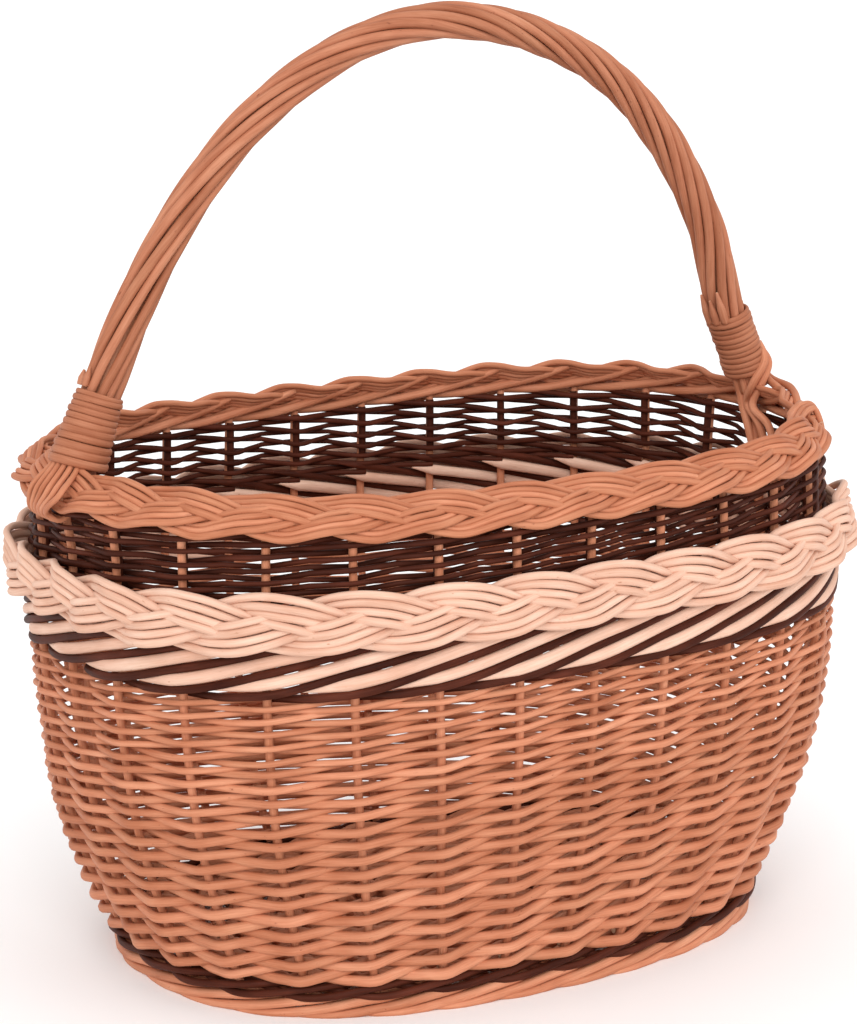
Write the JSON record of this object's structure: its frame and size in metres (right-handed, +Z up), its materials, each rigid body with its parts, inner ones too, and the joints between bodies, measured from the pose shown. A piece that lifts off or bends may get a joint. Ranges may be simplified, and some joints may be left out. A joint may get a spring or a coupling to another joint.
{
  "type": "wicker basket",
  "caption": "Oval woven willow basket with a fixed roped handle, a randed side, a slanting band of dark and pale rods, a pale plait, an open dark collar and a plaited rim.",
  "frame": {"origin": "middle of the footprint, on the floor that the foot stands on", "axes": "+X along the basket and its handle, +Y across it, +Z up through the top of the handle"},
  "size_m": [0.4496, 0.3336, 0.4782],
  "materials": {
    "buff_willow": "satin lacquer",
    "pale_willow": "satin lacquer",
    "dark_willow": "stained, satin lacquer"
  },
  "bodies": {
    "root": {"stake_01": "buff_willow", "stake_02": "buff_willow", "stake_03": "buff_willow", "stake_04": "buff_willow", "stake_05": "buff_willow", "stake_06": "buff_willow", "stake_07": "buff_willow", "stake_08": "buff_willow", "stake_09": "buff_willow", "stake_10": "buff_willow", "stake_11": "buff_willow", "stake_12": "buff_willow", "stake_13": "buff_willow", "stake_14": "buff_willow", "stake_15": "buff_willow", "stake_16": "buff_willow", "stake_17": "buff_willow", "stake_18": "buff_willow", "stake_19": "buff_willow", "stake_20": "buff_willow", "stake_21": "buff_willow", "stake_22": "buff_willow", "stake_23": "buff_willow", "stake_24": "buff_willow", "stake_25": "buff_willow", "stake_26": "buff_willow", "stake_27": "buff_willow", "stake_28": "buff_willow", "foot_border": "buff_willow", "foot_wale": "dark_willow", "side_weaver_01": "buff_willow", "side_weaver_02": "buff_willow", "slew_dark": "dark_willow", "slew_pale": "pale_willow", "pale_plait": "pale_willow", "collar_weaver_01": "dark_willow", "collar_weaver_02": "dark_willow", "rim_plait": "buff_willow", "handle_bow": "buff_willow", "handle_rod_01": "buff_willow", "handle_rod_02": "buff_willow", "handle_rod_03": "buff_willow", "handle_rod_04": "buff_willow", "handle_rod_05": "buff_willow", "handle_rod_06": "buff_willow", "handle_rod_07": "buff_willow", "handle_rod_08": "buff_willow", "handle_binding_left": "buff_willow", "handle_binding_right": "buff_willow", "handle_loop_left": "buff_willow", "handle_loop_right": "buff_willow", "base_cross_stick_01": "buff_willow", "base_cross_stick_02": "buff_willow", "base_cross_stick_03": "buff_willow", "base_cross_stick_04": "buff_willow", "base_long_stick_01": "buff_willow", "base_long_stick_02": "buff_willow", "base_long_stick_03": "buff_willow", "base_weaver_01": "buff_willow", "base_weaver_02": "buff_willow"}
  },
  "joints": []
}
